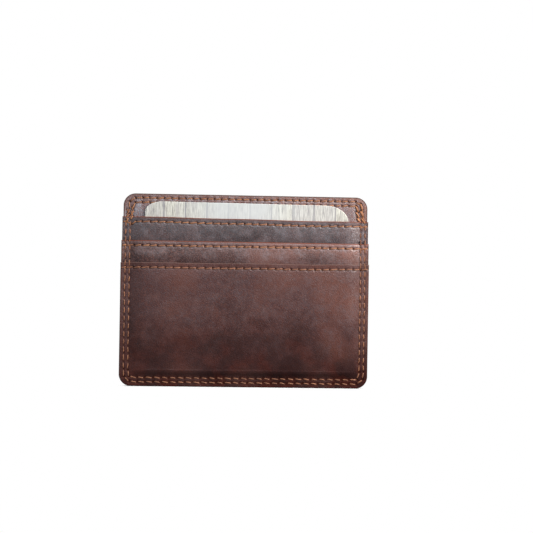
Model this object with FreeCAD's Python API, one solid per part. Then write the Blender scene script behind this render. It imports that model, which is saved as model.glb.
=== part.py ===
import FreeCAD, Part
import math
import os

# A slim leather card wallet: a back panel and a front body panel with a note pocket between
# them, three stepped card pockets on the front, and a loose insert card in the top pocket.
#
# Millimetres. X runs across the wallet, +Z up to the pocket mouths, -Y out of the front face.
# The origin is under the middle of the bottom edge. Depth e is measured from the back face
# towards the front, so a sheet's place in the stack is written as a depth.

# ---- driving dimensions ----
HEIGHT = 80.0
BODY_WIDTH = 102.0
POCKET_WIDTHS = (102.7, 103.2, 103.5)   # each pocket is cut a little wider than the one behind
MOUTHS = (70.0, 60.5, 51.5)             # heights of the three pocket mouths
CORNER = 5.0

BACK_LEATHER = 0.9
BODY_LEATHER = 0.8
POCKET_LEATHER = (0.7, 0.7, 0.9)
LINING = 0.15
NOTE_GAP = 0.4                          # room for folded notes
CARD_GAP = 0.8                          # room for a card 0.76 thick

INSERT_WIDTH = 85.6                     # a standard card
INSERT_HEIGHT = 54.0
INSERT_THICK = 0.7
INSERT_CORNER = 7.5
INSERT_TOP = 76.6

THREAD = 0.4                            # thread diameter
RECESS = 0.42                           # how deep a stitch is drawn into the leather
RECESS_MARGIN = 0.07                    # leather pushed back around a stitch
STITCH_GAP = 0.85                       # leather showing between two stitches
SEAM_PITCH = 3.25
TOP_PITCH = 2.95
BORDER_INSETS = (1.8, 3.6)              # the border's two rows, from the widest pocket's edge
TOP_SIDE_INSETS = (2.1, 3.9)            # the top edge's two rows, from the body's sides
TOP_EDGE_INSETS = (1.8, 3.65)           # and from the body's top edge
MOUTH_INSET = 2.1                       # a mouth's row, from the mouth
BORDER_END = MOUTHS[0] - 0.6            # the border's rows stop just below the top mouth
TOP_END = MOUTHS[0] + 0.4               # and the top edge's rows just above it
FLOOR_ROWS = (19.0, 9.5)                # hidden seams that close pockets 1 and 2 below
FLOOR_CLEAR = 1.5                       # flat leather above such a seam
FOLDS = (1.8, 2.2, 2.2)                 # height over which each pocket then rises
ROOMS = (43.9, 43.4, 43.2)              # half width of each pocket's level part

# ---- places worked out from them ----
HALF_BODY = BODY_WIDTH / 2
HALF_BORDER = POCKET_WIDTHS[-1] / 2
BACK_LINING_AT = BACK_LEATHER
FRONT_LINING_AT = BACK_LINING_AT + LINING
BODY_AT = FRONT_LINING_AT + LINING
POCKET_AT = (BODY_AT + BODY_LEATHER,
             BODY_AT + BODY_LEATHER + POCKET_LEATHER[0],
             BODY_AT + BODY_LEATHER + POCKET_LEATHER[0] + POCKET_LEATHER[1])
BORDER_ROWS = [HALF_BORDER - inset for inset in BORDER_INSETS]
RISE_FROM = BORDER_ROWS[1] - 1.5        # half width of the area inside the border's seams
RISE_ABOVE = BORDER_INSETS[1] + 0.6     # and its lower edge
CARD_FROM = RISE_FROM - 1.0             # half width where pockets 1 and 2 start to lift off
FLOOR_ROW_HALF = CARD_FROM - 1.0

SLOT_FLOORS = [row + FLOOR_CLEAR for row in FLOOR_ROWS]

# Each raised area: half width and low edge where it starts, the same where it is full, its rise.
NOTE_RAISE = (RISE_FROM, RISE_ABOVE, CARD_FROM, RISE_ABOVE + 2 * NOTE_GAP, NOTE_GAP)
POCKET_1_RAISE = (CARD_FROM, SLOT_FLOORS[0], ROOMS[0], SLOT_FLOORS[0] + FOLDS[0], CARD_GAP)
POCKET_2_RAISE = (CARD_FROM, SLOT_FLOORS[1], ROOMS[1], SLOT_FLOORS[1] + FOLDS[1], 2 * CARD_GAP)
FULL_RISE = NOTE_GAP + 3 * CARD_GAP
POCKET_3_RAISE = (RISE_FROM, RISE_ABOVE, ROOMS[2], RISE_ABOVE + FOLDS[2], FULL_RISE)
POCKET_RAISES = ((NOTE_RAISE, POCKET_1_RAISE), (NOTE_RAISE, POCKET_2_RAISE), (POCKET_3_RAISE,))
POCKETS = range(len(MOUTHS))

THICKNESS = POCKET_AT[2] + FULL_RISE + POCKET_LEATHER[2]
BEYOND = 2.0                            # how far a cutting solid runs past what it cuts
SEATING = 0.005                         # gap left under a stitch, so that nothing overlaps


# ---- basic solids ----
def at(x, z, e):
    """The point at x, z and depth e."""
    return FreeCAD.Vector(x, THICKNESS / 2 - e, z)


def forward(distance):
    """The vector towards the front face."""
    return FreeCAD.Vector(0, -distance, 0)


def slab(half, low, high, e, thick, corner):
    """A flat sheet centred on x = 0 with four rounded corners."""
    box = Part.makeBox(2 * half, thick, high - low, at(-half, low, e + thick))
    corner_edges = [edge for edge in box.Edges if edge.BoundBox.YLength > thick / 2]
    return box.makeFillet(corner, corner_edges)


def frustum(raise_, e):
    """The hollow under a raised area: a rectangle at depth e that narrows as it rises, and runs
    out past the top edge."""
    wide, low, narrow, full, rise = raise_
    high = HEIGHT + BEYOND
    base = [at(-wide, low, e), at(wide, low, e), at(wide, high, e), at(-wide, high, e)]
    roof = [at(-narrow, full, e + rise), at(narrow, full, e + rise),
            at(narrow, high, e + rise), at(-narrow, high, e + rise)]
    outlines = [base, roof]
    for i in range(len(base)):
        j = (i + 1) % len(base)
        outlines.append([base[i], base[j], roof[j], roof[i]])
    faces = [Part.Face(Part.makePolygon(points + points[:1])) for points in outlines]
    return Part.Solid(Part.Shell(faces))


def formed_sheet(half, mouth, e, thick, raises):
    """A sheet that lies flat at its edges and is pressed forward over each raised area."""
    sheet = slab(half, 0.0, HEIGHT, e, thick, CORNER)
    hollows = []
    for raise_ in raises:
        hollow = frustum(raise_, e)
        hollows.append(hollow)
        outside = hollow.copy()
        outside.translate(forward(thick))
        sheet = sheet.fuse(outside)
        rise = raise_[-1]
        e += rise
    envelope = slab(half, 0.0, HEIGHT, 0.0, THICKNESS, CORNER)
    below_mouth = Part.makeBox(2 * half, THICKNESS, mouth, at(-half, 0.0, THICKNESS))
    return sheet.cut(hollows).common(envelope).common(below_mouth).removeSplitter()


# ---- stitches: each is a pair of points (x, z), its two ends ----
def divide(length, point, pitch):
    """Even stitches along a path, where point gives (x, z) at a distance along it."""
    count = max(1, round(length / pitch))
    step = length / count
    return [(point(i * step + STITCH_GAP / 2), point((i + 1) * step - STITCH_GAP / 2))
            for i in range(count)]


def u_row(half, end, turn, radius, pitch):
    """A U-shaped row: two sides at x = -half and half that start at height end, and a straight
    run at height turn, joined by round corners."""
    up = math.copysign(1.0, end - turn)
    side = abs(end - turn) - radius
    bend = math.pi * radius / 2
    length = 2 * (side + bend + half - radius)

    def point(s):
        if s > length / 2:
            x, z = point(length - s)
            return -x, z
        if s <= side:
            return -half, end - up * s
        if s <= side + bend:
            angle = (s - side) / radius
            return (radius * (1 - math.cos(angle)) - half,
                    turn + up * radius * (1 - math.sin(angle)))
        return s - side - bend + radius - half, turn

    return divide(length, point, pitch)


def straight_row(breaks, z):
    """A straight row at height z, with a gap at every break: the places where the leather bends
    or another seam crosses."""
    stitches = []
    for left, right in zip(breaks, breaks[1:]):
        stitches += divide(right - left, lambda s, left=left: (left + s, z), SEAM_PITCH)
    return stitches


def border_row(i):
    return u_row(BORDER_ROWS[i], BORDER_END, BORDER_INSETS[i], CORNER - BORDER_INSETS[i],
                 SEAM_PITCH)


def top_row(i):
    return u_row(HALF_BODY - TOP_SIDE_INSETS[i], TOP_END, HEIGHT - TOP_EDGE_INSETS[i],
                 CORNER - TOP_EDGE_INSETS[i], TOP_PITCH)


def mouth_row(i):
    full_rise = POCKET_RAISES[i][-1][2]
    breaks = [full_rise, RISE_FROM, BORDER_ROWS[1], BORDER_ROWS[0], POCKET_WIDTHS[i] / 2]
    return straight_row([-x for x in reversed(breaks)] + breaks, MOUTHS[i] - MOUTH_INSET)


def floor_row(i):
    return straight_row([-FLOOR_ROW_HALF, FLOOR_ROW_HALF], FLOOR_ROWS[i])


def on_pocket(stitches, i):
    """The stitches that lie on pocket i: their lower end is below its mouth, and above the next
    pocket's."""
    covered = MOUTHS[i + 1] if i + 1 < len(MOUTHS) else 0.0
    return [pair for pair in stitches if covered < min(pair[0][1], pair[1][1]) <= MOUTHS[i]]


# ---- the leather under the stitches, and the thread ----
def back_face(x, z):
    """Depth of the back panel's outer face, which is flat."""
    return 0.0


def front_face(e, raises):
    """A function that gives the depth of a formed sheet's front face at (x, z), where e is its
    depth at the sheet's edge."""
    def depth(x, z):
        level = e
        for wide, low, narrow, full, rise in raises:
            across = (wide - abs(x)) / (wide - narrow)
            along = (z - low) / (full - low)
            level += rise * max(0.0, min(across, along, 1.0))
        return level
    return depth


BODY_FACE = front_face(POCKET_AT[0], (NOTE_RAISE,))
POCKET_FACES = [front_face(POCKET_AT[i] + POCKET_LEATHER[i], POCKET_RAISES[i]) for i in POCKETS]


def thread(stitches, depth, outward=1):
    """The thread of every stitch, drawn into the surface that depth gives. outward is 1 on the
    front and -1 on the back."""
    samples = 8
    cylinders = []
    for (x0, z0), (x1, z1) in stitches:
        e0 = depth(x0, z0)
        e1 = depth(x1, z1)
        lift = 0.0
        for i in range(1, samples):
            share = i / samples
            surface = depth(x0 + share * (x1 - x0), z0 + share * (z1 - z0))
            lift = max(lift, outward * (surface - e0 - share * (e1 - e0)))
        slope = (e1 - e0) / math.hypot(x1 - x0, z1 - z0)
        shift = outward * (lift - RECESS + SEATING + math.hypot(1.0, slope) * THREAD / 2)
        start = at(x0, z0, e0 + shift)
        end = at(x1, z1, e1 + shift)
        cylinders.append(Part.makeCylinder(THREAD / 2, (end - start).Length, start, end - start))
    return cylinders


def stitched(sheet, stitches, outward=1):
    """The sheet with a recess under every stitch in its outer face."""
    cutters = []
    wide = THREAD / 2 + RECESS_MARGIN
    for (x0, z0), (x1, z1) in stitches:
        length = math.hypot(x1 - x0, z1 - z0)
        box = Part.makeBox(length + 2 * RECESS_MARGIN, THICKNESS + 2 * BEYOND, 2 * wide,
                           FreeCAD.Vector(-RECESS_MARGIN, 0.0, -wide))
        turn = FreeCAD.Rotation(FreeCAD.Vector(1, 0, 0), FreeCAD.Vector(x1 - x0, 0, z1 - z0))
        box.Placement = FreeCAD.Placement(at(x0, z0, THICKNESS + BEYOND), turn)
        cutters.append(box)
    kept = sheet.copy()
    kept.translate(forward(-outward * RECESS))
    return sheet.cut(sheet.common(Part.makeCompound(cutters)).cut(kept))


# ---- sheets ----
def back_panel():
    sheet = slab(HALF_BODY, 0.0, HEIGHT, 0.0, BACK_LEATHER, CORNER)
    stitches = border_row(0) + border_row(1) + top_row(0) + top_row(1)
    return stitched(sheet, stitches, outward=-1)


def back_lining():
    return slab(HALF_BODY, 0.0, HEIGHT, BACK_LINING_AT, LINING, CORNER)


def front_lining():
    return formed_sheet(HALF_BODY, HEIGHT, FRONT_LINING_AT, LINING, (NOTE_RAISE,))


def body_panel():
    sheet = formed_sheet(HALF_BODY, HEIGHT, BODY_AT, BODY_LEATHER, (NOTE_RAISE,))
    return stitched(sheet, top_row(0) + top_row(1))


def pocket_panel(i):
    sheet = formed_sheet(POCKET_WIDTHS[i] / 2, MOUTHS[i], POCKET_AT[i], POCKET_LEATHER[i],
                         POCKET_RAISES[i])
    stitches = mouth_row(i) + on_pocket(border_row(0) + border_row(1), i)
    if i < len(FLOOR_ROWS):
        stitches += floor_row(i)
    return stitched(sheet, stitches)


def insert_card():
    middle = BODY_AT + BODY_LEATHER + NOTE_GAP + CARD_GAP / 2
    return slab(INSERT_WIDTH / 2, INSERT_TOP - INSERT_HEIGHT, INSERT_TOP,
                middle - INSERT_THICK / 2, INSERT_THICK, INSERT_CORNER)


# ---- threads ----
def border_thread_front(row):
    cylinders = []
    for i in POCKETS:
        cylinders += thread(on_pocket(border_row(row), i), POCKET_FACES[i])
    return cylinders


def threads():
    found = {}
    for row, label in enumerate(("outer", "inner")):
        found[f"border_{label}_thread_front"] = border_thread_front(row)
        found[f"border_{label}_thread_back"] = thread(border_row(row), back_face, outward=-1)
        found[f"top_{label}_thread_front"] = thread(top_row(row), BODY_FACE)
        found[f"top_{label}_thread_back"] = thread(top_row(row), back_face, outward=-1)
    for i in POCKETS:
        found[f"mouth_{i + 1}_thread"] = thread(mouth_row(i), POCKET_FACES[i])
    for i in range(len(FLOOR_ROWS)):
        found[f"slot_{i + 1}_floor_thread"] = thread(floor_row(i), POCKET_FACES[i])
    return {name: Part.makeCompound(cylinders) for name, cylinders in found.items()}


def parts():
    found = {
        "back_panel": back_panel(),
        "back_lining": back_lining(),
        "front_lining": front_lining(),
        "body_panel": body_panel(),
        "insert_card": insert_card(),
    }
    for i in POCKETS:
        found[f"pocket_{i + 1}_panel"] = pocket_panel(i)
    found.update(threads())
    return found


os.makedirs("parts", exist_ok=True)
for name, shape in parts().items():
    shape.exportStep(f"parts/{name}.step")
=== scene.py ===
import math
from functools import cached_property

import bpy
import numpy as np
from mathutils import Matrix, Quaternion, Vector

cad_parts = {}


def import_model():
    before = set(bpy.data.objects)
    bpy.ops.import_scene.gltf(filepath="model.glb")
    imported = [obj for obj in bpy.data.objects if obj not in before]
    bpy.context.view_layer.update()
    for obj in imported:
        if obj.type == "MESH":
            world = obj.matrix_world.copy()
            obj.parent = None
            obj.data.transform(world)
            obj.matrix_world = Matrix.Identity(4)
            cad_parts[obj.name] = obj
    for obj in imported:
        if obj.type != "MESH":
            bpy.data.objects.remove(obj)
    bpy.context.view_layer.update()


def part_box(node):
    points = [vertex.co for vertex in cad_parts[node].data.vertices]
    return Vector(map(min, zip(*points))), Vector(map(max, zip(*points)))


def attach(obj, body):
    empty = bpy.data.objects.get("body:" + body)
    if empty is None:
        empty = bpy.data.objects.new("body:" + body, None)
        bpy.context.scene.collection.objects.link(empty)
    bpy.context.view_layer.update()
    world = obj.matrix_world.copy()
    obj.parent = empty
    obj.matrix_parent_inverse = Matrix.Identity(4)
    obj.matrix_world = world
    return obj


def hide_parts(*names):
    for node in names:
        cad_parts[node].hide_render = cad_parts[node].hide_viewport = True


# The looks of a slim leather card wallet, built around its CAD frame.
#
# Lengths are in millimetres unless they say otherwise, and turned into metres where a mesh is
# made. x runs across the wallet and z up it. A depth is measured from the wallet's back face
# towards its front.

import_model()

MM = 0.001


# ---- sizes, from the frame ----
def cad(node):
    """A CAD node's lowest and highest corner, in millimetres."""
    low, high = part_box(node)
    return low / MM, high / MM


BACK_Y = cad("back_panel")[1].y
HEIGHT = cad("body_panel")[1].z
CAD_THREAD = cad("mouth_1_thread")[1].z - cad("mouth_1_thread")[0].z


def row_at(node, side):
    """Where a seam's outermost row runs: x of its right side, or z of its top or bottom."""
    low, high = cad(node)
    inset = CAD_THREAD / 2
    return {"x": high.x - inset, "top": high.z - inset, "bottom": low.z + inset}[side]


BORDER_X = [row_at(f"border_{row}_thread_front", "x") for row in ("outer", "inner")]
BORDER_Z = [row_at(f"border_{row}_thread_front", "bottom") for row in ("outer", "inner")]
BORDER_TOP = cad("border_outer_thread_front")[1].z
MOUTH_ROWS = [row_at(f"mouth_{i}_thread", "top") for i in (1, 2, 3)]
TACK_ENDS = {  # the heights each tack runs between: outer row, inner row
    "left": ((MOUTH_ROWS[0] + 0.2, HEIGHT - 6.6), (MOUTH_ROWS[0] + 0.9, HEIGHT - 5.2)),
    "right": ((MOUTH_ROWS[0] + 1.1, HEIGHT - 2.6), (MOUTH_ROWS[0] + 1.3, HEIGHT - 3.8)),
}
TACK_LEAN = {"left": (0.4, 0.85), "right": (0.3, 1.35)}  # how far in a tack starts and ends
TACK_STITCHES = 3
TACK_WANDER = (0.15, 0.3)  # how far a hole is off its place, across and up
TACK_STEP = 0.6  # the height over which a tack steps back above the mouth's edge
TACK_PASSES = {  # slant and step aside of a tack's two passes
    "left": ((0.5, 0.0), (-0.5, 0.1)),
    "right": ((0.3, 0.0), (0.5, 0.35)),
}
TACKED_TOP = 6.5  # how far down from the top the tacks leave the top seam alone
TOP_X = [row_at(f"top_{row}_thread_front", "x") for row in ("outer", "inner")]
TOP_Z = [row_at(f"top_{row}_thread_front", "top") for row in ("outer", "inner")]
TOP_END = cad("top_outer_thread_front")[0].z
FLOOR_ROWS = [row_at(f"slot_{i}_floor_thread", "top") for i in (1, 2)]

# ---- the form of the leather ----
CORNER = 5.0  # radius of the outer corners
EDGE_ROUND = 0.3  # radius of a cut edge
EDGE_SHARE = 0.4  # and the most of a thin sheet's thickness that it takes
CROWN = (0.1, 0.3, 0.55)  # how far each pocket bows out, at most
SIM_CELL = 3.0  # mesh spacing of the cloth simulation that shapes the bow
SIM_SIZE = 0.01  # it is ten times as large, where cloth settles well
SIM_WAVES = 0.2  # how uneven its sheet is at the start
SIM_FRAMES = 20
FOLD_START = 0.8  # where the fold above a closing seam starts
FOLD_WIDTH = 2.4
FOLD_SHARE = 0.35  # share of a pocket's swelling that comes right at its bottom fold
GENTLE_START = 3.0  # where the rest of the swelling starts
GENTLE_ROOM = 5.0  # and the height that it needs
CARD_FOOT_GAP = 0.1  # the swelling is full this much below the card's foot
OVER_CARD = 0.8  # and full across this much inside the card's sides
OVER_EMPTY = 9.0  # or this much, where a pocket is empty
EMPTY_SHARE = 0.45  # how far the empty pockets open, as a share of a card's room
EMPTY_WAVES = 0.1  # how unevenly
MOUTH_TILT = (-0.0068, 0.0, 0.005)  # how much each mouth rises over a millimetre
MOUTH_WAVES = 0.07  # how far a tilted mouth wanders up and down
MOUTH_REACH = (14.0, 2.0)  # how far below a mouth that starts, and is full
FALL = (0.08, 0.4, 0.4)  # how far each mouth lies back from the leather below it
BODY_FALL = 0.3
FALL_HEIGHT = 7.0
ROLLS = (-0.03, 0.2, -0.1)  # how far each mouth's edge is pressed back
ROLL_HEIGHT = 1.4
CREASE_Z = 6.9  # height of the pressed line above the bottom seam
CREASE_X = 1.5  # its middle
CREASE_HALF = 45.0  # half its length
CREASE_FADE = 4.0  # how gradually it ends
CREASE_RISE = 0.1
CREASE_WIDTH = 0.25

# ---- how the stitches draw it in ----
CHANNEL = 0.1  # depth of the channel under a row of stitches
CHANNEL_WIDTH = 0.6
CHANNEL_PAST = 0.5  # how far it goes past a stitch
CHANNEL_FADE = 0.6  # and how gradually it ends
CHANNEL_SHADE = 0.35  # how much painted shade it gets, against a hole
SHOULDER = 0.03  # how far the leather swells beside the channel
SHOULDER_PLACE = 1.15
SHOULDER_WIDTH = 0.4
HOLE = 0.42  # depth of the dimple at a stitch hole
HOLE_WIDTH = 0.27
HOLE_LENGTH = 0.55
HOLE_SLANT = (0.8, 0.6)  # cosine and sine of the dimples' slant
DENT_REACH = 2.0  # nothing further from a stitch is drawn in
BORDER_PULL = 0.5  # how strongly the border's stitches pull, against the others
BOTTOM_PULL = 0.85  # and along the bottom
TACK_PULL = 0.7  # and in the tacks

# ---- meshes ----
COARSE = 3.0  # mesh spacing where a sheet is covered
FINE = 0.5  # and where it shows
FINEST = 0.25  # and beside its seams
SEAM_REACH = 2.2  # how far beside
EDGE_LINES = (0.0, 0.03, 0.09, 0.18, 0.3, 0.45, 0.7, 1.0, 1.35)  # distances from a cut edge
EDGE_CLEAR = 1.5  # where the other lines may start
EVEN_START = 1.7  # and where the even ones do
LEAST_STEP = 0.02
COVERED = 3.0  # how far the fine mesh goes on below what shows

# ---- stitches ----
SEAM_PITCH = 3.25
TOP_PITCH = 2.95
HOLE_WANDER = 0.045  # how far a hole is off its place, as a share of the pitch
FLOOR_INSET = 1.0  # how far inside the card's sides a slot's floor row ends
MOUTH_INSET = 0.25  # how far inside a pocket's edges its mouth's row ends
ROW_TILT = 0.2  # how far a stitch's ends lie to either side of its row
SIDE_TILT = (-0.05, 0.16)  # the same down the sides, and how much it varies
BOTTOM_TILT = (-0.27, 0.08)  # and along the bottom
THREAD_RADIUS = 0.26
THREAD_SINK = 0.1  # how far a stitch's middle line lies under the leather's face
SINK_VARIES = (-0.03, 0.05)
THREAD_DIVE = 0.7  # and how much deeper its ends go
MOUTH_DIVE = 0.44  # where only one sheet is sewn
LONG_DASH = 0.9  # share of its pitch that a stitch spans on the mouths and top
SHORT_DASH = 0.84  # and on the border
TACK_DASH = 0.95  # and in the tacks
DASH_VARIES = (0.94, 1.05)
TACK_RADIUS = {"left": THREAD_RADIUS, "right": 0.35}
PLIES = 3
PLY_TURNS = 2.0  # turns that the plies take over one stitch
PLY_SWELL = 0.1  # how far they stand out, as a share of the radius
TAPER = 0.35  # how much thinner a stitch is at its ends
RINGS = 11  # of points along a stitch
SIDES = 12  # points in a ring

# ---- the display card ----
CARD_SHIFT = 0.34  # it stands a little to the right
CARD_TURN = 0.4  # and a little turned, in degrees
CARD_TRIM = 0.3  # its sides stand inside the frame's by this much
CARD_PLAY = 0.1  # and it is thinner by this much
CARD_CORNER = 7.5  # radius of its bottom corners
CARD_CORNERS = {-1: (7.5, 4.2), 1: (10.0, 6.9)}  # width and height of its top corners
PLANK = 8.95  # width of a printed plank
PLANK_START = 1.6
PALE_MIDDLE = -3.0  # where the card is palest: the print fades there, under a painted highlight
PALE_REACH = (9.0, 27.0)  # how far from there its colour starts, and is full

# ---- colours shared by the leathers ----
# DARK_EDGE: the cut edges' dark dye, deepened by painted shade
DARK_EDGE = (0.05, 0.018, 0.012)
RED_EDGE = (0.17, 0.041, 0.018)
EDGE_REACH = 0.35  # how quickly the nearness to a cut edge fades
PAINTED_SHADE_COLOURS = ((0.024, 0.0095, 0.009), (0.05, 0.0095, 0.006))  # painted shade lower down on a sheet: dark, and redder in blotches
# painted shade in the stitch holes and channels
HOLE_SHADE_COLOUR = (0.046, 0.012, 0.007)
BORDER_REACH = 2.2  # how far the warmer border beside an edge reaches: wear, with a painted highlight
SCUFF_SLANT = 40.0  # degrees
SCUFF_LENGTH = 9.0  # how drawn out a scuff is

# ---- camera and light ----
LENS = 85.0
SENSOR = 36.0
VIEW_WIDTH = 222.3  # how much the picture takes in at the wallet
AIM_RIGHT = 8.85
AIM_UP = 10.45
VIEW_TURN = -2.8  # degrees, from the left
ROLL = 0.95
FLOOR_HALF = 3.0  # metres
FLOOR_FADE = (0.5, 2.2)  # how far from the wallet the floor starts to fade, and is gone
SKY_LIGHT = 0.7  # brightness of the surroundings from high above
GROUND_LIGHT = 0.03  # and from level and below
LIGHTS = (  # name, place and size in metres, power, colour
    ("key", (0.25, -0.17, 0.22), 0.16, 1.6, (1.0, 0.97, 0.93)),
    ("front_right", (0.16, -0.5, 0.36), 0.2, 0.5, (1.0, 1.0, 1.0)),
    ("front_left", (-0.14, -0.5, 0.36), 0.2, 0.5, (0.7, 0.86, 1.0)),
    ("fill", (-0.4, -0.3, 0.2), 0.3, 0.12, (0.75, 0.88, 1.0)),
    ("back", (-0.25, 0.5, 0.35), 0.4, 2.5, (1.0, 1.0, 1.0)),
)

# ---- where the random draws start ----
BORDER_SEED = 21
TOP_SEED = 31
MOUTH_SEED = 41
TACK_SEED = 50
FLOOR_SEED = 71
THREAD_SEED = 81


# ---- small helpers ----
def ease(t):
    """A smooth step from 0 to 1 as t goes from 0 to 1."""
    t = np.clip(t, 0.0, 1.0)
    return t * t * (3.0 - 2.0 * t)


def ripple(x, z, size, seed):
    """Smooth irregular waves about size across, mostly between -1 and 1."""
    rng = np.random.default_rng(seed)
    total = np.zeros(np.broadcast(x, z).shape)
    waves = 9
    for _ in range(waves):
        angle = rng.uniform(0.0, 2.0 * math.pi)
        phase = rng.uniform(0.0, 2.0 * math.pi)
        pull = 2.0 * math.pi / (size * rng.uniform(0.8, 1.9))
        total += np.sin(pull * (x * math.cos(angle) + z * math.sin(angle)) + phase)
    return total / math.sqrt(waves)


def add_object(name, data):
    obj = bpy.data.objects.new(name, data)
    bpy.context.scene.collection.objects.link(obj)
    return obj


def make_object(name, points, faces, attributes, material, body):
    """A smooth-shaded mesh object that rides on a body. attributes are values for its points,
    by name."""
    mesh = bpy.data.meshes.new(name)
    mesh.from_pydata((points * MM).tolist(), [], faces)
    mesh.shade_smooth()
    for key, values in attributes.items():
        layer = mesh.attributes.new(key, "FLOAT", "POINT")
        layer.data.foreach_set("value", np.array(values, np.float32).ravel())
    mesh.materials.append(material)
    obj = add_object(name, mesh)
    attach(obj, body)
    return obj


# ---- the stack of sheets ----
class Sheet:
    """A sheet's outline and its place in the stack, read from its CAD node. inner is the depth
    of its back face at the seams, and rise is how far it then swells. floor is the height of
    the seam that closes its pocket. tilt, bow, fall and roll are set once all sheets exist."""

    def __init__(self, node, thick, floor=0.0, square_top=False, corner=CORNER):
        low, high = cad(node)
        self.node = node
        self.thick = thick
        self.half = high.x
        self.bottom = low.z
        self.top = high.z
        self.inner = BACK_Y - high.y
        self.rise = high.y - low.y - thick
        self.floor = floor
        self.corner = corner
        self.square_top = square_top
        self.top_corners = {}
        self.tilt = 0.0
        self.bow = None
        self.fall = 0.0
        self.roll = 0.0


def flange_gap(node, behind):
    """The thickness of the sheet behind a node, from where the two start in the stack."""
    return cad(behind)[1].y - cad(node)[1].y


STITCHED_FACE = cad("border_outer_thread_front")[0].y
back = Sheet("back_panel", cad("back_panel")[1].y - cad("back_panel")[0].y)
back_lining = Sheet("back_lining", cad("back_lining")[1].y - cad("back_lining")[0].y)
front_lining = Sheet("front_lining", flange_gap("body_panel", "front_lining"), BORDER_Z[1])
body = Sheet("body_panel", flange_gap("pocket_1_panel", "body_panel"), BORDER_Z[1])
pockets = [
    Sheet("pocket_1_panel", flange_gap("pocket_2_panel", "pocket_1_panel"), FLOOR_ROWS[0], True),
    Sheet("pocket_2_panel", flange_gap("pocket_3_panel", "pocket_2_panel"), FLOOR_ROWS[1], True),
    Sheet("pocket_3_panel", cad("pocket_3_panel")[1].y - STITCHED_FACE, BORDER_Z[1], True),
]
NOTE = body.rise
CARD = pockets[0].rise - NOTE
card_low, card_high = cad("insert_card")
CARD_HALF = card_high.x
SEAM_INSIDE = BORDER_X[1] - 0.5  # where the sheets start to rise from the seams


def across(x, full):
    """0 at the inner side seams, rising to 1 at half width full and level from there."""
    share = np.clip((SEAM_INSIDE - np.abs(x)) / (SEAM_INSIDE - full), 0.0, 1.0)
    return np.sin(share * math.pi / 2)


def pressed(z, floor):
    """0 at the seam that closes a pocket below, rising to 1 at a pressed fold above it."""
    share = np.clip((z - floor - FOLD_START) / FOLD_WIDTH, 0.0, 1.0)
    return np.sin(share * math.pi / 2) ** 1.5


def swelling(z, floor):
    """Rises from the closing seam to 1 where the card stands: partly at the pressed fold, and
    then gently up to the card's foot."""
    foot = card_low.z - CARD_FOOT_GAP
    crisp = FOLD_SHARE if foot - floor > GENTLE_ROOM else 1.0
    gentle = ease((z - floor - GENTLE_START) / (foot - floor - GENTLE_START))
    return crisp * pressed(z, floor) + (1.0 - crisp) * gentle


def outer_depth(sheet, x, z):
    """Depth of a sheet's front face, before any stitching."""
    note = min(sheet.rise, NOTE)
    card = CARD if sheet.rise > NOTE + 0.1 else 0.0
    empty = max(0.0, sheet.rise - NOTE - CARD) * EMPTY_SHARE
    over_card = across(x, CARD_HALF - OVER_CARD)
    middle = across(x, CARD_HALF - OVER_EMPTY)
    depth = sheet.inner + sheet.thick + note * over_card * pressed(z, BORDER_Z[1])
    depth = depth + (card * over_card + empty * middle) * swelling(z, sheet.floor)
    if sheet.bow:
        along = ease((CREASE_HALF - np.abs(x - CREASE_X)) / CREASE_FADE)
        crease = CREASE_RISE * along * np.exp(-((z - CREASE_Z) / CREASE_WIDTH) ** 2)
        depth = depth + sheet.bow(x, z) + crease
    if empty:
        depth = depth + EMPTY_WAVES * empty * ripple(x, z, 17.0, 5) * middle
    fall = ease((z - sheet.top + FALL_HEIGHT) / FALL_HEIGHT)
    return depth - sheet.fall * fall * (middle if card else over_card)


def mouth_shift(sheet, x, z):
    """How far a pocket's upper part stands above or below its nominal height: the mouths
    aren't quite parallel or quite straight."""
    start, full = MOUTH_REACH
    near = ease((z - sheet.top + start) / (start - full))
    waves = MOUTH_WAVES * ripple(x, 0.0, 22.0, 11) if sheet.tilt else 0.0
    return near * (sheet.tilt * x + waves)


# ---- how a pocket's leather bows out ----
def sim_grid(sheet):
    """The lines of the simulated sheet, inside the pocket's seams."""
    columns = round(2 * SEAM_INSIDE / SIM_CELL) + 1
    rows = round((sheet.top - sheet.floor) / SIM_CELL) + 1
    return (np.linspace(-SEAM_INSIDE, SEAM_INSIDE, columns),
            np.linspace(sheet.floor, sheet.top, rows))


def simulated_bow(x, z):
    """A cloth simulation of a pocket's leather, held at its seams and pressed from within. x
    and z are the grid's."""
    points = np.stack([x, ripple(x, z, 30.0, 3) * SIM_WAVES, z], -1)
    rows, columns = x.shape
    corners = [r * columns + c for r in range(rows - 1) for c in range(columns - 1)]
    faces = [(i, i + 1, i + columns + 1, i + columns) for i in corners]
    mesh = bpy.data.meshes.new("sim")
    mesh.from_pydata((points.reshape(-1, 3) * SIM_SIZE).tolist(), [], faces)
    obj = add_object("sim", mesh)
    held = [i for i in range(x.size) if i < columns or i % columns in (0, columns - 1)]
    obj.vertex_groups.new(name="held").add(held, 1.0, "REPLACE")
    cloth = obj.modifiers.new("cloth", "CLOTH").settings
    cloth.vertex_group_mass = "held"
    cloth.tension_stiffness = 40.0
    cloth.compression_stiffness = 40.0
    cloth.bending_stiffness = 8.0
    cloth.use_pressure = True
    cloth.uniform_pressure_force = 4.0
    cloth.effector_weights.gravity = 0.0
    for number in range(1, SIM_FRAMES + 1):
        bpy.context.scene.frame_set(number)
    settled = obj.evaluated_get(bpy.context.evaluated_depsgraph_get()).data
    moved = np.abs(np.array([v.co.y for v in settled.vertices]).reshape(x.shape))
    bpy.context.scene.frame_set(1)
    bpy.data.objects.remove(obj)
    bpy.data.meshes.remove(mesh)
    return moved / moved.max()


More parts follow.
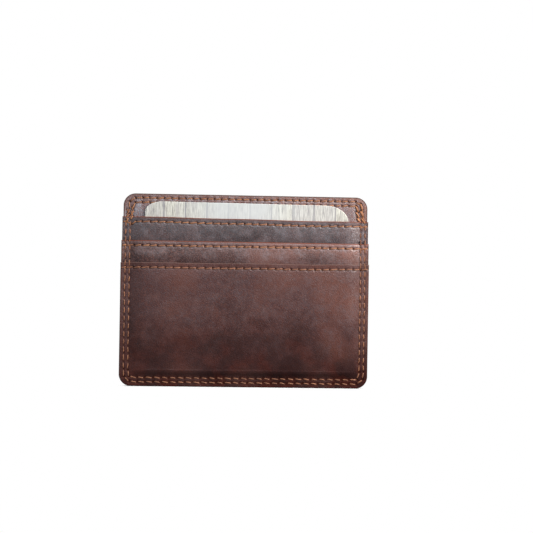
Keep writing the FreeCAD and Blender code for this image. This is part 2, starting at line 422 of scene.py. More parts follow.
def give_bow(sheet, amount):
    """Gives a pocket its bow, as a function of x and z, from its heights on the grid."""
    xs, zs = sim_grid(sheet)
    grid = np.meshgrid(xs, zs)
    heights = simulated_bow(*grid)

    def bow(x, z):
        u = np.clip((x - xs[0]) / (xs[1] - xs[0]), 0.0, len(xs) - 1.001)
        v = np.clip((z - zs[0]) / (zs[1] - zs[0]), 0.0, len(zs) - 1.001)
        c, r = u.astype(int), v.astype(int)
        u, v = ease(u - c), ease(v - r)
        low = heights[r, c] * (1 - u) + heights[r, c + 1] * u
        high = heights[r + 1, c] * (1 - u) + heights[r + 1, c + 1] * u
        return amount * (low * (1 - v) + high * v)

    sheet.bow = bow


# ---- seams: each is a list of stitches (x0, z0, x1, z1), from hole to hole ----
def stitch_path(holes, tilt, wander=0.04):
    """Stitches between neighbouring holes. tilt turns each one about its middle, by how far it
    moves an end aside, and wander is how much that varies."""
    rng = np.random.default_rng(len(holes))
    stitches = []
    for (x0, z0), (x1, z1) in zip(holes, holes[1:]):
        length = math.hypot(x1 - x0, z1 - z0)
        aside = tilt + rng.uniform(-wander, wander)
        side_x, side_z = -(z1 - z0) / length * aside, (x1 - x0) / length * aside
        stitches.append((x0 - side_x, z0 - side_z, x1 + side_x, z1 + side_z))
    return stitches


def jittered(count, seed):
    """Even steps from 0 to 1 that wander a little, as a seam's holes do."""
    steps = np.linspace(0.0, 1.0, count + 1)
    wander = np.random.default_rng(seed).uniform(-HOLE_WANDER, HOLE_WANDER, count + 1) / count
    wander[0] = wander[-1] = 0.0
    return steps + wander


def u_holes(half, end, turn, radius, pitch, seed):
    """Holes of a U-shaped row: sides at x = -half and half from height end, joined at turn."""
    up = math.copysign(1.0, end - turn)
    side = abs(end - turn) - radius
    bend = math.pi * radius / 2
    length = 2 * (side + bend + half - radius)
    holes = []
    for share in jittered(round(length / pitch), seed):
        s = min(share, 1 - share) * length
        if s <= side:
            x, z = -half, end - up * s
        elif s <= side + bend:
            angle = (s - side) / radius
            x = radius * (1 - math.cos(angle)) - half
            z = turn + up * radius * (1 - math.sin(angle))
        else:
            x, z = s - side - bend + radius - half, turn
        holes.append((x if share <= 0.5 else -x, z))
    return holes


def straight_holes(left, right, z, seed):
    """Holes of a level row."""
    count = round((right - left) / SEAM_PITCH)
    return [(left + share * (right - left), z) for share in jittered(count, seed)]


def border_seam(row):
    """A row of the border, down one side, along the bottom and up the other."""
    radius = CORNER - BORDER_Z[row]
    holes = u_holes(BORDER_X[row], BORDER_TOP, BORDER_Z[row], radius, SEAM_PITCH,
                    BORDER_SEED + row)
    sides = [stitch for stitch in stitch_path(holes, *SIDE_TILT) if stitch[1] > CORNER]
    return sides + [stitch for stitch in stitch_path(holes, *BOTTOM_TILT) if stitch[1] <= CORNER]


def top_seam(row):
    """A row along the top edge, with its two short sides."""
    radius = CORNER - (HEIGHT - TOP_Z[row])
    holes = u_holes(TOP_X[row], TOP_END, TOP_Z[row], radius, TOP_PITCH, TOP_SEED + row)
    return stitch_path(holes, ROW_TILT)


def mouth_seam(i):
    """The row under a mouth. It runs from edge to edge, follows its mouth, and the border's
    inner row pulls the first one down on the left."""
    sheet = pockets[i]
    edge = sheet.half - MOUTH_INSET
    level = MOUTH_ROWS[i]
    holes = [(-edge, level)]
    holes += straight_holes(0.4 - BORDER_X[0], edge, level, MOUTH_SEED + i)
    if i == 0:
        holes[2:3] = [(0.5 - BORDER_X[1], level - 1.1), (2.6 - BORDER_X[1], level)]
    holes = [(x, z + float(mouth_shift(sheet, np.array(x), np.array(z)))) for x, z in holes]
    return stitch_path(holes, ROW_TILT)


def tack_seam(row, side, number):
    """One pass of the end of a border row: it carries on over the mouth's edge and the top seam,
    leaning in. It is sewn twice, so its stitches cross on the left and lie doubled on the
    right."""
    rng = np.random.default_rng(TACK_SEED + 4 * row + number)
    sign = {"left": -1, "right": 1}[side]
    low, high = TACK_ENDS[side][row]
    slant, aside = TACK_PASSES[side][number]
    start, end = TACK_LEAN[side]
    off_x, off_z = TACK_WANDER
    holes = []
    for i in range(TACK_STITCHES + 1):
        share = i / TACK_STITCHES
        x = BORDER_X[row] - start - (end - start) * ease(share * 1.3) - aside
        holes.append((sign * x + rng.uniform(-off_x, off_x),
                      low + share * (high - low) + rng.uniform(-off_z, off_z)))
    return stitch_path(holes, slant)


def lies_on(stitches, low, high):
    """The stitches whose lower end is between two heights."""
    return [s for s in stitches if low < min(s[1], s[3]) <= high]


def above_tacks(stitches):
    """The stitches of a top row, less the ends of its sides that the tacks take in."""
    return lies_on(stitches, HEIGHT - TACKED_TOP, HEIGHT)


# ---- sheet meshes ----
def spaced(low, high, step, near):
    """Lines from low to high, step apart, and FINEST apart close to each place in near. The
    last few at each end crowd together, to round the edge."""
    lines = np.arange(low + EVEN_START, high - EVEN_START + step / 2, step)
    for place in near:
        lines = lines[np.abs(lines - place) > SEAM_REACH]
        lines = np.append(lines, np.arange(place - SEAM_REACH, place + SEAM_REACH, FINEST))
    lines = lines[(lines > low + EDGE_CLEAR) & (lines < high - EDGE_CLEAR)]
    edge = np.array(EDGE_LINES)
    lines = np.unique(np.round(np.concatenate([lines, low + edge, high - edge]), 3))
    keep = np.append(True, np.diff(lines) > LEAST_STEP)
    return lines[keep]


def rounded(sheet, x, z):
    """Moves a grid's points so that its corners are round, and gives each point's distance
    from the edge."""
    mid = (sheet.bottom + sheet.top) / 2
    upper = z > mid
    wide = np.full(x.shape, sheet.corner)
    tall = np.full(x.shape, sheet.corner)
    for side, (top_wide, top_tall) in sheet.top_corners.items():
        wide[upper & (x * side > 0)] = top_wide
        tall[upper & (x * side > 0)] = top_tall
    a = np.clip((np.abs(x) - sheet.half + wide) / wide, 0.0, 1.0)
    b = np.clip((np.abs(z - mid) - (sheet.top - mid) + tall) / tall, 0.0, 1.0)
    if sheet.square_top:
        b = np.where(upper, 0.0, b)
    inside_x = np.sign(x) * (sheet.half - wide)
    inside_z = np.where(upper, sheet.top - tall, sheet.bottom + tall)
    corner = (a > 0) & (b > 0)
    new_x = np.where(corner, inside_x + np.sign(x) * wide * a * np.sqrt(1 - b * b / 2), x)
    new_z = np.where(corner, inside_z + np.sign(z - mid) * tall * b * np.sqrt(1 - a * a / 2), z)
    flat = np.minimum(sheet.half - np.abs(new_x),
                      np.minimum(new_z - sheet.bottom, sheet.top - new_z))
    bend = np.minimum(wide, tall) * (1 - np.hypot((new_x - inside_x) / wide,
                                                  (new_z - inside_z) / tall))
    return new_x, new_z, np.maximum(np.where(corner, np.minimum(flat, bend), flat), 0.0)


def dents(x, z, seams):
    """How far the leather is drawn in by its stitches, and how much painted shade that leaves in
    it: a shallow channel with a slanted dimple at each hole. seams is a list of (stitches,
    strength)."""
    depth = np.zeros(x.shape)
    dark = np.zeros(x.shape)
    stitches = [(*stitch, strength) for seam, strength in seams for stitch in seam]
    for x0, z0, x1, z1, strength in stitches:
        near = (x > min(x0, x1) - DENT_REACH) & (x < max(x0, x1) + DENT_REACH)
        near &= (z > min(z0, z1) - DENT_REACH) & (z < max(z0, z1) + DENT_REACH)
        if not near.any():
            continue
        length = math.hypot(x1 - x0, z1 - z0)
        ax, az = (x1 - x0) / length, (z1 - z0) / length
        u = (x[near] - x0) * ax + (z[near] - z0) * az
        v = (z[near] - z0) * ax - (x[near] - x0) * az
        inside = (ease((u + CHANNEL_PAST) / CHANNEL_FADE)
                  * ease((length + CHANNEL_PAST - u) / CHANNEL_FADE))
        channel = inside * np.exp(-(v / CHANNEL_WIDTH) ** 2)
        shoulder = inside * np.exp(-((np.abs(v) - SHOULDER_PLACE) / SHOULDER_WIDTH) ** 2)
        hole = np.zeros(u.shape)
        for end in (0.0, length):
            turned = HOLE_SLANT[0] * (u - end) + HOLE_SLANT[1] * v
            aslant = HOLE_SLANT[0] * v - HOLE_SLANT[1] * (u - end)
            dimple = np.exp(-(turned / HOLE_WIDTH) ** 2 - (aslant / HOLE_LENGTH) ** 2)
            hole = np.maximum(hole, dimple)
        drawn = CHANNEL * channel + HOLE * strength * hole - SHOULDER * shoulder
        depth[near] = np.maximum(depth[near], drawn)
        dark[near] = np.maximum(dark[near], np.maximum(CHANNEL_SHADE * channel, strength * hole))
    return depth, dark


def sheet_object(name, sheet, material, shown=(), near_x=(), front=(), back_side=(),
                 body_name="wallet"):
    """A closed sheet with rounded cut edges. shown is (low, high, heights of its rows): it is
    finely meshed between the first two, and finest beside its rows. front and back_side are the
    seams on its two faces, for dents."""
    xs = spaced(-sheet.half, sheet.half, FINE if shown else COARSE, near_x)
    zs = spaced(sheet.bottom, sheet.top, COARSE, ())
    if shown:
        low, high, near_z = shown
        fine = spaced(sheet.bottom, sheet.top, FINE, near_z)
        zs = np.concatenate([zs[zs < low], fine[(fine >= low) & (fine <= high)], zs[zs > high]])
    grid_x, grid_z = np.meshgrid(xs, zs)
    x, z, edge = rounded(sheet, grid_x, grid_z)
    lift = outer_depth(sheet, x, z)
    z = z + mouth_shift(sheet, x, z)
    radius = min(EDGE_ROUND, sheet.thick * EDGE_SHARE)
    t = 1.0 - np.minimum(edge / radius, 1.0)
    drop = radius * (1.0 - np.sqrt(1.0 - t * t))
    roll = sheet.roll * (1.0 - ease((sheet.top - grid_z) / ROLL_HEIGHT))
    front_dent, front_shade = dents(x, z, front)
    back_dent, back_shade = dents(x, z, back_side)
    front_y = BACK_Y - (lift - drop - roll - front_dent)
    back_y = BACK_Y - (lift - sheet.thick + drop + back_dent)
    points = np.concatenate([np.stack([x, y, z], -1).reshape(-1, 3) for y in (front_y, back_y)])
    rows, columns = x.shape
    index = np.arange(rows * columns).reshape(rows, columns)
    cells = np.stack([index[:-1, :-1], index[:-1, 1:], index[1:, 1:], index[1:, :-1]], -1)
    cells = cells.reshape(-1, 4)
    rim = np.concatenate([index[0, :], index[1:, -1], index[-1, -2::-1], index[-2:0:-1, 0]])
    after = np.roll(rim, -1)
    offset = rows * columns
    faces = np.concatenate([cells, cells[:, ::-1] + offset,
                            np.stack([rim, rim + offset, after + offset, after], -1)])
    near = np.exp(-edge / EDGE_REACH)
    at_lip = sheet.square_top & (edge > sheet.top - grid_z - 0.01)
    attributes = {
        "edge": [np.where(at_lip, 0.0, near)] * 2,
        "lip": [np.where(at_lip, near, 0.0)] * 2,
        "border": [np.exp(-edge / BORDER_REACH)] * 2,
        "dark": [front_shade, back_shade],
    }
    obj = make_object(name, points, faces.tolist(), attributes, material, body_name)
    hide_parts(sheet.node)
    return obj


# ---- thread ----
def thread_object(name, groups, material, node, seed, dash=LONG_DASH, radius=THREAD_RADIUS,
                  dive=THREAD_DIVE):
    """A seam's thread. groups is a list of (stitches, depth function, outward), where outward
    is 1 on the front face and -1 on the back. dash is the share of its pitch a stitch spans."""
    rng = np.random.default_rng(seed)
    s = np.linspace(0.0, 1.0, RINGS)
    around = np.linspace(0.0, 2.0 * math.pi, SIDES, endpoint=False)
    points, faces, plies = [], [], []
    count = 0
    for stitches, depth_at, outward in groups:
        for x0, z0, x1, z1 in stitches:
            span = 0.5 + (s - 0.5) * dash * rng.uniform(*DASH_VARIES)
            x = x0 + (x1 - x0) * span
            z = z0 + (z1 - z0) * span
            ending = np.abs(2 * s - 1) ** 4
            sink = THREAD_SINK + rng.uniform(*SINK_VARIES) + dive * ending
            level = depth_at(x, z) - outward * sink
            centre = np.stack([x, BACK_Y - level, z], -1)
            tangent = np.gradient(centre, axis=0)
            tangent /= np.linalg.norm(tangent, axis=1)[:, None]
            side = np.cross(tangent, (0.0, -outward, 0.0))
            side /= np.linalg.norm(side, axis=1)[:, None]
            normal = np.cross(side, tangent)
            twist = 2.0 * math.pi * PLY_TURNS * s[:, None] / PLIES
            lobe = np.cos(PLIES * (around[None, :] + twist))
            size = radius * (1.0 + PLY_SWELL * lobe) * (1.0 - TAPER * ending[:, None])
            ring = (side[:, None, :] * np.cos(around)[None, :, None]
                    + normal[:, None, :] * np.sin(around)[None, :, None])
            points.append((centre[:, None, :] + ring * size[..., None]).reshape(-1, 3))
            plies.append(lobe)
            index = np.arange(RINGS * SIDES).reshape(RINGS, SIDES) + count
            ahead = np.roll(index, -1, axis=1)
            tube = np.stack([index[:-1], index[1:], ahead[1:], ahead[:-1]], -1).reshape(-1, 4)
            faces += [*tube.tolist(), index[0].tolist(), index[-1][::-1].tolist()]
            count += RINGS * SIDES
    obj = make_object(name, np.concatenate(points), faces, {"ply": plies}, material, "wallet")
    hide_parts(node)


# ---- materials ----
class Tree:
    """Short calls for building the nodes of a material or a world. A value is a number, a
    colour or a socket."""

    def __init__(self, owner, shader="Principled BSDF"):
        owner.use_nodes = True
        self.owner = owner
        self.nodes = owner.node_tree.nodes
        self.links = owner.node_tree.links
        self.shader = self.nodes[shader]

    def put(self, socket, value):
        if isinstance(value, bpy.types.NodeSocket):
            self.links.new(value, socket)
        elif socket.type == "RGBA":
            socket.default_value = (*value, 1.0)
        else:
            socket.default_value = value

    def node(self, kind, inputs, output=0, **settings):
        node = self.nodes.new(kind)
        for key, value in settings.items():
            setattr(node, key, value)
        for key, value in inputs.items():
            self.put(node.inputs[key], value)
        return node.outputs[output]

    def scaled(self, sx, sy, sz, slant=0.0):
        """Millimetres multiplied along each axis, after a turn by slant degrees about y."""
        inputs = {"Vector": self.node("ShaderNodeTexCoord", {}, "Object"),
                  "Rotation": (0.0, math.radians(slant), 0.0),
                  "Scale": (sx / MM, sy / MM, sz / MM)}
        return self.node("ShaderNodeMapping", inputs)

    @cached_property
    def millimetres(self):
        return self.scaled(1.0, 1.0, 1.0)

    def axes(self, vector):
        """The x, y and z of a vector."""
        node = self.nodes.new("ShaderNodeSeparateXYZ")
        self.put(node.inputs[0], vector)
        return node.outputs

    def noise(self, size, detail=3.0, roughness=0.55, vector=None):
        """Noise with features about size millimetres across."""
        inputs = {"Vector": vector or self.millimetres, "Scale": 1.0 / size, "Detail": detail,
                  "Roughness": roughness}
        return self.node("ShaderNodeTexNoise", inputs)

    def attribute(self, name):
        return self.node("ShaderNodeAttribute", {}, "Fac", attribute_name=name)

    def ramp(self, value, stops):
        """A colour by value, between stops of (value, colour)."""
        node = self.nodes.new("ShaderNodeValToRGB")
        points = node.color_ramp.elements
        while len(points) < len(stops):
            points.new(0.5)
        for point, (place, colour) in zip(points, stops):
            point.position = place
            point.color = (*colour, 1.0)
        self.put(node.inputs[0], value)
        return node.outputs[0]

    def span(self, value, low, high, out_low=0.0, out_high=1.0, **settings):
        """Maps low..high to out_low..out_high, clamped."""
        inputs = {"Value": value, "From Min": low, "From Max": high, "To Min": out_low,
                  "To Max": out_high}
        return self.node("ShaderNodeMapRange", inputs, **settings)

    def mix(self, share, a, b):
        """Colour a, turning to b as share goes from 0 to 1."""
        return self.node("ShaderNodeMix", {0: share, 6: a, 7: b}, 2, data_type="RGBA")

    def maths(self, operation, a, b=0.0):
        return self.node("ShaderNodeMath", {0: a, 1: b}, operation=operation)

    def sum(self, a, b):
        return self.maths("ADD", a, b)

    def product(self, a, b):
        return self.maths("MULTIPLY", a, b)

    def bump(self, height, strength, distance):
        inputs = {"Height": height, "Strength": strength, "Distance": distance * MM}
        return self.node("ShaderNodeBump", inputs)

    def finish(self, **inputs):
        """The material or world, with these inputs of its shader set."""
        for key, value in inputs.items():
            self.put(self.shader.inputs[key.replace("_", " ")], value)
        return self.owner


def new_material(name):
    return Tree(bpy.data.materials.new(name))


def leather(name, seed, dark, middle, warm, wax_haze_and_sheen, lip=RED_EDGE, rim=0.5, shine=0.5, gloss=0.38,
            grain=0.5, lean=0.0, haze_and_sheen_by_side=(0.4, 0.4), wear_and_highlight=(0.4, 0.4), foot=None):
    """Waxed pull-up leather: soft dark and warm clouds, a greyish wax haze that also stands in as
    painted sheen, painted glints among its specks, scuffs, fine pebbled grain, warmer wear towards
    its borders with a painted highlight, burnished cut edges darkened partly as painted shade, and
    painted shade in its stitch holes and channels. lip is the colour of its mouth, and rim is the
    width of that and of the dark edges. shine, gloss and grain are its reflectance, roughness and
    relief. lean is how much warmer and lighter it gets towards the right: painted light from that
    side. haze_and_sheen_by_side and wear_and_highlight are the strengths of the haze and painted
    sheen and of the border's wear and painted highlight at the left and at the right. foot is how
    much darker it gets downwards, at most, and between which heights: painted shade."""
    t = new_material(name)
    x, _, z = t.axes(t.millimetres)
    shifted = t.node("ShaderNodeVectorMath", {0: t.millimetres, 1: (seed * 37.0, 0.0, seed * 19.0)})

    def sideways(left, right):
        return t.span(x, -body.half, body.half, left, right)

    patches = t.noise(22.0, 3.0, 0.5, shifted)
    # painted light from the right: the tone leans warmer and lighter towards that side
    tone = t.sum(patches, sideways(-lean, lean))
    colour = t.ramp(tone, [(0.3, dark), (0.5, middle), (0.7, warm)])
    blotches = t.noise(7.0, 3.0, 0.6, shifted)
    colour = t.mix(t.span(blotches, 0.5, 0.72, 0.0, 0.6), colour, warm)
    clouds = t.noise(3.5, 5.0, 0.65, shifted)
    # painted sheen: the greyish wax haze colour laid on in clouds, its strength set for each side
    colour = t.mix(t.product(t.span(clouds, 0.45, 0.72), sideways(*haze_and_sheen_by_side)), colour, wax_haze_and_sheen)
    # warmer border: wear, with a painted highlight
    colour = t.mix(t.product(t.attribute("border"), sideways(*wear_and_highlight)), colour, warm)

    flecks = t.noise(0.6, 2.0, 0.5, shifted)
    colour = t.mix(t.span(flecks, 0.4, 0.6, 0.4, 0.0), colour, dark)
    # painted glints: pale specks of the haze and sheen colour; the same noise also roughens the
    # grain
    glints_and_grain = t.noise(0.4, 1.0, 0.5, shifted)
    colour = t.mix(t.span(glints_and_grain, 0.54, 0.7, 0.0, 0.5), colour, wax_haze_and_sheen)
    freckles = t.noise(0.55, 2.0, 0.6, shifted)
    colour = t.mix(t.span(freckles, 0.48, 0.62, 0.0, 0.55), colour, warm)
    scuffs = t.noise(0.5, 2.0, 0.5, t.scaled(1.0, 1.0, 1.0 / SCUFF_LENGTH, SCUFF_SLANT))
    scuffed = t.product(t.span(scuffs, 0.62, 0.75), t.span(blotches, 0.4, 0.6))
    colour = t.mix(t.product(scuffed, 0.35), colour, wax_haze_and_sheen)

    # painted shade: darker and less shiny downwards, in blotches
    if foot:
        most, low, high = foot
        wander = 0.28 * (high - low)
        place = t.sum(z, t.span(patches, 0.3, 0.7, -wander, wander))
        below = t.mix(t.span(blotches, 0.42, 0.6), *PAINTED_SHADE_COLOURS)
        colour = t.mix(t.span(place, low, high, most, 0.0), colour, below)
        shine = t.span(place, low, high, shine * (1.0 - most), shine)

    start = math.exp(-rim / EDGE_REACH)
    matt = 0.0
    # edge: the cut edges' dye with painted shade over it; lip: the mouth's cut edge colour
    for kind, tint in (("edge", DARK_EDGE), ("lip", lip)):
        burnish = t.span(t.attribute(kind), start, start + 0.3, 0.0, 0.9)
        colour = t.mix(burnish, colour, tint)
        shine = t.product(shine, t.span(burnish, 0.0, 0.9, 1.0, 0.35))
        matt = t.sum(matt, t.span(burnish, 0.0, 0.9, 0.0, 0.3))
    # painted shade in the stitch holes and in the channels under the rows
    holes = t.attribute("dark")
    colour = t.mix(t.span(holes, 0.08, 0.6, 0.0, 0.95), colour, HOLE_SHADE_COLOUR)
    shine = t.product(shine, t.span(holes, 0.2, 0.7, 1.0, 0.2))

    pores = t.node("ShaderNodeTexVoronoi", {"Vector": shifted, "Scale": 2.4, "Randomness": 1.0})
    wrinkles = t.noise(1.2, 3.0, 0.6, shifted)
    height = t.sum(t.sum(t.product(pores, 0.7), t.product(wrinkles, 0.35)), glints_and_grain)
    rough = t.sum(t.span(clouds, 0.3, 0.7, gloss - 0.05, gloss + 0.08),
                  t.span(flecks, 0.3, 0.7, -0.05, 0.05))
    rough = t.sum(t.sum(rough, matt), t.product(holes, 0.3))
    return t.finish(Base_Color=colour, Roughness=rough, Specular_IOR_Level=shine,
                    Normal=t.bump(height, grain, 0.24))


def thread_material(name, low, high):
    """Waxed orange-tan thread, with painted shade between its plies, uneven from low to high along
    it.
    """
    t = new_material(name)
    colour = t.ramp(t.noise(2.5, 2.0), [(0.3, low), (0.7, high)])
    # painted shade in the grooves between the plies
    between = t.span(t.attribute("ply"), -1.0, 0.2, 0.55, 0.0)
    colour = t.mix(between, colour, (0.07, 0.022, 0.01))
    fibres = t.noise(0.09, 2.0)
    return t.finish(Base_Color=colour, Roughness=0.6, Normal=t.bump(fibres, 0.5, 0.05),
                    Sheen_Weight=0.1)


def lining_material():
    """Dark woven lining."""
    t = new_material("woven_lining")
    inputs = {"Vector": t.millimetres, "Scale": 1.6, "Distortion": 0.4}
    warp = t.node("ShaderNodeTexWave", inputs, "Fac", bands_direction="X")
    weft = t.node("ShaderNodeTexWave", inputs, "Fac", bands_direction="Z")
    weave = t.product(warp, weft)
    colour = t.mix(weave, (0.012, 0.01, 0.009), (0.05, 0.038, 0.03))
    return t.finish(Base_Color=colour, Roughness=0.85, Normal=t.bump(weave, 0.6, 0.08))


def card_material():
    """Printed card: pale weathered planks that fade to white towards the middle, where a painted
    highlight lies over the fade.
    """
    t = new_material("printed_card")
    x, _, _ = t.axes(t.millimetres)
    plank = t.maths("DIVIDE", t.maths("SUBTRACT", x, PLANK_START), PLANK)
    number = t.node("ShaderNodeTexWhiteNoise", {"W": t.maths("FLOOR", plank)}, "Value",
                    noise_dimensions="1D")
    within = t.maths("FRACT", plank)
    gap = t.sum(t.span(within, 0.0, 0.05, 1.0, 0.0), t.span(within, 0.95, 1.0, 0.0, 1.0))
    streaks = t.noise(0.38, 4.0, 0.7, t.scaled(1.0, 1.0, 0.08))
    knots = t.noise(3.0, 3.0, 0.6, t.scaled(1.0, 1.0, 0.25))
    colour = t.ramp(streaks, [(0.35, (0.2, 0.185, 0.185)), (0.48, (0.58, 0.56, 0.49)),
                              (0.63, (0.82, 0.81, 0.73))])
    colour = t.mix(t.span(number, 0.2, 0.9, 0.0, 0.35), colour, (0.5, 0.5, 0.55))
    colour = t.mix(t.span(knots, 0.52, 0.7, 0.0, 0.6), colour, (0.4, 0.37, 0.38))
    colour = t.mix(t.product(gap, 0.8), colour, (0.13, 0.12, 0.17))
    colour = t.mix(t.span(x, 0.0, 45.0, 0.0, 0.22), colour, (0.4, 0.37, 0.34))
    # towards the middle: the print's fade, with a painted highlight
    from_middle = t.maths("ABSOLUTE", t.maths("SUBTRACT", x, PALE_MIDDLE))
    colour = t.mix(t.span(from_middle, *PALE_REACH, 0.75, 0.0), colour, (0.62, 0.64, 0.65))
    speck = t.noise(0.4, 2.0)
    return t.finish(Base_Color=colour, Roughness=t.span(speck, 0.3, 0.7, 0.3, 0.5),
                    Normal=t.bump(speck, 0.4, 0.06))


# ---- build ----
for sheet, amount, tilt, fall, roll in zip(pockets, CROWN, MOUTH_TILT, FALL, ROLLS):
    sheet.tilt = tilt
    sheet.fall = fall
    sheet.roll = roll
    give_bow(sheet, amount)
body.fall = front_lining.fall = BODY_FALL

# the body's greyish haze, full at the left and none at the right, is a painted bluish sheen
body_leather = leather("leather_body", 1, dark=(0.12, 0.078, 0.085), middle=(0.178, 0.121, 0.126),
                       warm=(0.26, 0.1, 0.06), wax_haze_and_sheen=(0.44, 0.47, 0.54), shine=0.65,
                       haze_and_sheen_by_side=(1.0, 0.0), rim=0.6, lean=0.06, wear_and_highlight=(0.5, 1.0))
back_leather = leather("leather_back", 5, dark=(0.06, 0.024, 0.021), middle=(0.095, 0.036, 0.031),
                       warm=(0.14, 0.05, 0.036), wax_haze_and_sheen=(0.12, 0.075, 0.075))
# foot, on both bands: painted shade just above the next pocket's mouth
band_leather = leather("leather_band_dark", 2, dark=(0.036, 0.028, 0.031),
                       middle=(0.084, 0.068, 0.075), warm=(0.15, 0.078, 0.07),
                       wax_haze_and_sheen=(0.225, 0.218, 0.245), shine=0.7, haze_and_sheen_by_side=(0.45, 0.75), grain=0.35,
                       gloss=0.35, foot=(0.3, pockets[1].top, pockets[1].top + 5.5))
pocket_leather = leather("leather_band", 3, dark=(0.046, 0.022, 0.021),
                         middle=(0.09, 0.045, 0.042), warm=(0.215, 0.092, 0.073),
                         wax_haze_and_sheen=(0.25, 0.21, 0.225), shine=0.65, haze_and_sheen_by_side=(0.45, 0.95), grain=0.3,
                         gloss=0.35, foot=(0.45, pockets[2].top, pockets[2].top + 5.0), lean=0.21)
# foot: painted shade, darker towards the bottom of the front pocket
front_leather = leather("leather_front", 4, dark=(0.056, 0.019, 0.017),
                        middle=(0.072, 0.03, 0.03), warm=(0.13, 0.044, 0.0315),
                        # lip: the cut edge's colour, made paler and greyer as a painted highlight
                        wax_haze_and_sheen=(0.122, 0.085, 0.092), lip=(0.15, 0.085, 0.068), grain=0.35,
                        rim=0.25, foot=(0.9, 2.0, 34.0), lean=0.1,
                        haze_and_sheen_by_side=(0.3, 0.8))
lining = lining_material()
thread = thread_material("waxed_thread", (0.26, 0.097, 0.04), (0.49, 0.212, 0.094))
# a darker copy of the thread, as painted shade, for the border's front rows and the lowest mouth
shaded_thread = thread_material("shaded_thread", (0.2, 0.073, 0.034), (0.39, 0.157, 0.076))

border = [border_seam(row) for row in (0, 1)]
top = [top_seam(row) for row in (0, 1)]
mouth = [mouth_seam(i) for i in range(3)]
floor_end = CARD_HALF - FLOOR_INSET
floors = [stitch_path(straight_holes(-floor_end, floor_end, z, FLOOR_SEED), 0.0)
          for z in FLOOR_ROWS]
tacks = {(row, side): [tack_seam(row, side, number) for number in (0, 1)]
         for row in (0, 1) for side in TACK_RADIUS}

pocket_tops = [sheet.top for sheet in pockets] + [0.0]
side_lines = [sign * x for x in BORDER_X for sign in (-1, 1)]
both_borders = border[0] + border[1]
both_tops = top[0] + top[1]
tacked = [stitch for passes in tacks.values() for stitches in passes for stitch in stitches]


def add_pocket(i, material):
    """A pocket. The lowest also holds the border's rows along the bottom."""
    sheet = pockets[i]
    low = pocket_tops[i + 1]
    sides = lies_on(both_borders, max(low, CORNER), sheet.top)
    stitched = [(sides, BORDER_PULL), (mouth[i], 1.0)]
    rows = [MOUTH_ROWS[i]]
    if low == 0.0:
        stitched.append((lies_on(both_borders, 0.0, CORNER), BOTTOM_PULL))
        rows += BORDER_Z + [BORDER_Z[1] + GENTLE_START]
    sheet_object(f"pocket_{i + 1}_leather", sheet, material,
                 (max(low - COVERED, 0.0), sheet.top, rows), side_lines, front=stitched)


def front_face(sheet):
    """Depth of a sheet's front face, as a function of x and z."""
    return lambda x, z: outer_depth(sheet, x, z)


def back_face(x, z):
    """Depth of the wallet's back face."""
    return np.zeros(x.shape)


def tack_face(x, z):
    """The first pocket's face below its mouth, and the body's above."""
    above = z - pockets[0].top - mouth_shift(pockets[0], x, z)
    share = ease(above / TACK_STEP + 0.5)
    return outer_depth(pockets[0], x, z) * (1 - share) + outer_depth(body, x, z) * share


def over_tack(x, z):
    """Where the second pass of a tack lies, on top of the first."""
    return tack_face(x, z) + THREAD_RADIUS


def behind_tack(x, z):
    """Where a tack lies on the back face, over the ends of the top seam."""
    return back_face(x, z) - THREAD_RADIUS


def add_border(row, label):
    """A row of the border on both faces, with the tacks at its ends."""
    front_node = f"border_{label}_thread_front"
    groups = [(lies_on(border[row], pocket_tops[i + 1], pocket_tops[i]), front_face(pockets[i]), 1)
              for i in range(3)]
    thread_object(f"thread_border_{label}_front", groups, shaded_thread, front_node,
                  THREAD_SEED + row, SHORT_DASH)
    for side, radius in TACK_RADIUS.items():
        under, over = tacks[row, side]
        thread_object(f"thread_tack_{label}_{side}", [(under, tack_face, 1), (over, over_tack, 1)],
                      thread, front_node, THREAD_SEED + 2 + row, TACK_DASH, radius)
    behind = [stitch for side in TACK_RADIUS for stitch in tacks[row, side][1]]
    thread_object(f"thread_border_{label}_back",
                  [(border[row], back_face, -1), (behind, behind_tack, -1)], thread,
                  f"border_{label}_thread_back", THREAD_SEED + 4 + row, SHORT_DASH)


def add_top(row, label):
    """A row of the top seam on both faces."""
    thread_object(f"thread_top_{label}_front", [(above_tacks(top[row]), front_face(body), 1)],
                  thread, f"top_{label}_thread_front", THREAD_SEED + 6 + row)
    thread_object(f"thread_top_{label}_back", [(top[row], back_face, -1)],
                  thread, f"top_{label}_thread_back", THREAD_SEED + 8 + row)


def add_card():
    """The card, a little off the middle and turned, with a little play in its slot."""
    sheet = Sheet("insert_card", card_high.y - card_low.y - CARD_PLAY, corner=CARD_CORNER)
    sheet.inner += CARD_PLAY / 2
    sheet.rise = 0.0
    sheet.half -= CARD_TRIM
    sheet.top_corners = CARD_CORNERS
    obj = sheet_object("display_card", sheet, card_material(), (0.0, HEIGHT, ()),
                       body_name="card")
    middle = Vector((0.0, 0.0, (card_low.z + card_high.z) / 2 * MM))
    shift = Vector((CARD_SHIFT * MM, 0.0, 0.0))
    turn = Matrix.Rotation(math.radians(CARD_TURN), 4, "Y")
    obj.data.transform(Matrix.Translation(middle + shift) @ turn @ Matrix.Translation(-middle))


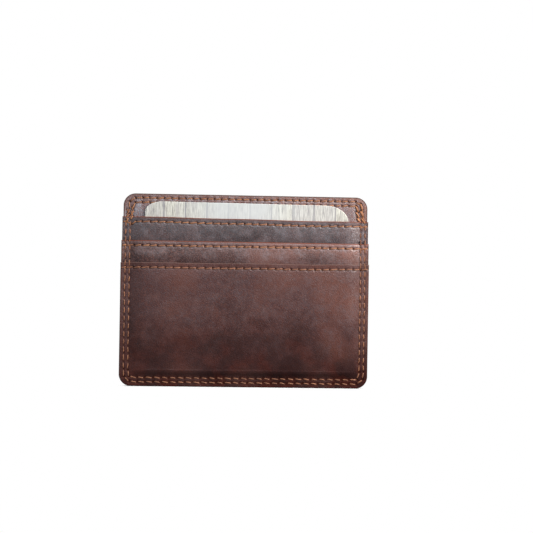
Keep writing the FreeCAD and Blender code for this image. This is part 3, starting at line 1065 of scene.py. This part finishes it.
sheet_object("back_leather", back, back_leather, (0.0, HEIGHT, BORDER_Z + TOP_Z),
             side_lines, back_side=[(both_borders, BORDER_PULL), (both_tops, 1.0)])
sheet_object("body_leather", body, body_leather,
             (pocket_tops[0] - COVERED, HEIGHT, TOP_Z), side_lines,
             front=[(above_tacks(both_tops), 1.0), (tacked, TACK_PULL)])
sheet_object("lining_back", back_lining, lining)
sheet_object("lining_front", front_lining, lining)
add_pocket(0, band_leather)
add_pocket(1, pocket_leather)
add_pocket(2, front_leather)
for row, label in enumerate(("outer", "inner")):
    add_border(row, label)
    add_top(row, label)
for i, material in enumerate((thread, thread, shaded_thread)):
    thread_object(f"thread_mouth_{i + 1}", [(mouth[i], front_face(pockets[i]), 1)], material,
                  f"mouth_{i + 1}_thread", THREAD_SEED + 10 + i, dive=MOUTH_DIVE)
for i, stitches in enumerate(floors):
    thread_object(f"thread_floor_{i + 1}", [(stitches, front_face(pockets[i]), 1)], thread,
                  f"slot_{i + 1}_floor_thread", THREAD_SEED + 13 + i)
add_card()


# ---- stage, light and camera ----
def floor():
    """A large pale floor that fades into the background. It throws little light back up."""
    mesh = bpy.data.meshes.new("floor")
    signs = ((-1, -1), (1, -1), (1, 1), (-1, 1))
    mesh.from_pydata([(x * FLOOR_HALF, y * FLOOR_HALF, 0) for x, y in signs], [], [(0, 1, 2, 3)])
    t = new_material("pale_floor")
    seen = t.node("ShaderNodeLightPath", {}, "Is Camera Ray")
    mottle = t.mix(t.noise(40.0), (0.86, 0.86, 0.86), (0.9, 0.9, 0.9))
    t.finish(Base_Color=t.mix(seen, (0.2, 0.2, 0.2), mottle), Roughness=0.9)
    x, y, _ = t.axes(t.millimetres)
    beside = t.maths("SUBTRACT", t.maths("ABSOLUTE", x), body.half)
    beside = t.maths("MAXIMUM", beside, 0.0)
    away = t.sum(t.product(beside, beside), t.product(y, y))
    far = t.span(t.maths("SQRT", away), *FLOOR_FADE)
    glow = t.node("ShaderNodeEmission", {"Color": (1.0, 1.0, 1.0), "Strength": 1.0})
    share = t.product(far, seen)
    both = t.node("ShaderNodeMixShader", {0: share, 1: t.shader.outputs[0], 2: glow})
    t.links.new(both, t.nodes["Material Output"].inputs["Surface"])
    mesh.materials.append(t.owner)
    add_object("floor", mesh)


def area_light(name, place, size, power, colour):
    """A square soft light aimed at the middle of the wallet."""
    data = bpy.data.lights.new(name, "AREA")
    data.size = size
    data.energy = power
    data.color = colour
    obj = add_object(name, data)
    obj.location = place
    aim = Vector((0.0, 0.0, HEIGHT / 2 * MM)) - obj.location
    obj.rotation_euler = aim.to_track_quat("-Z", "Y").to_euler()


def world():
    """Surroundings that look plain white and light the wallet softly from above."""
    t = Tree(bpy.data.worlds.new("studio"), "Background")
    _, _, up = t.axes(t.node("ShaderNodeTexCoord", {}, "Generated"))
    sky = t.span(up, 0.0, 0.75, GROUND_LIGHT, SKY_LIGHT, interpolation_type="SMOOTHSTEP")
    seen = t.node("ShaderNodeLightPath", {}, "Is Camera Ray")
    level = t.node("ShaderNodeMix", {0: seen, 2: sky, 3: 1.0})
    bpy.context.scene.world = t.finish(Color=(1.0, 1.0, 1.0), Strength=level)


def camera():
    """Level with the wallet and square on to its front, a little from the left."""
    data = bpy.data.cameras.new("camera")
    data.lens = LENS
    data.sensor_width = SENSOR
    data.clip_start = 0.01
    data.clip_end = 20.0
    obj = add_object("camera", data)
    turn = math.radians(VIEW_TURN)
    outward = Vector((math.sin(turn), -math.cos(turn), 0.0))
    aim = Vector((AIM_RIGHT, 0.0, HEIGHT / 2 + AIM_UP)) * MM
    obj.location = aim + outward * (VIEW_WIDTH * LENS / SENSOR * MM)
    facing = outward.to_track_quat("Z", "Y")
    obj.rotation_euler = (facing @ Quaternion((0.0, 0.0, 1.0), math.radians(ROLL))).to_euler()
    bpy.context.scene.camera = obj


floor()
world()
for light in LIGHTS:
    area_light(*light)
camera()
bpy.context.scene.view_settings.view_transform = "Standard"
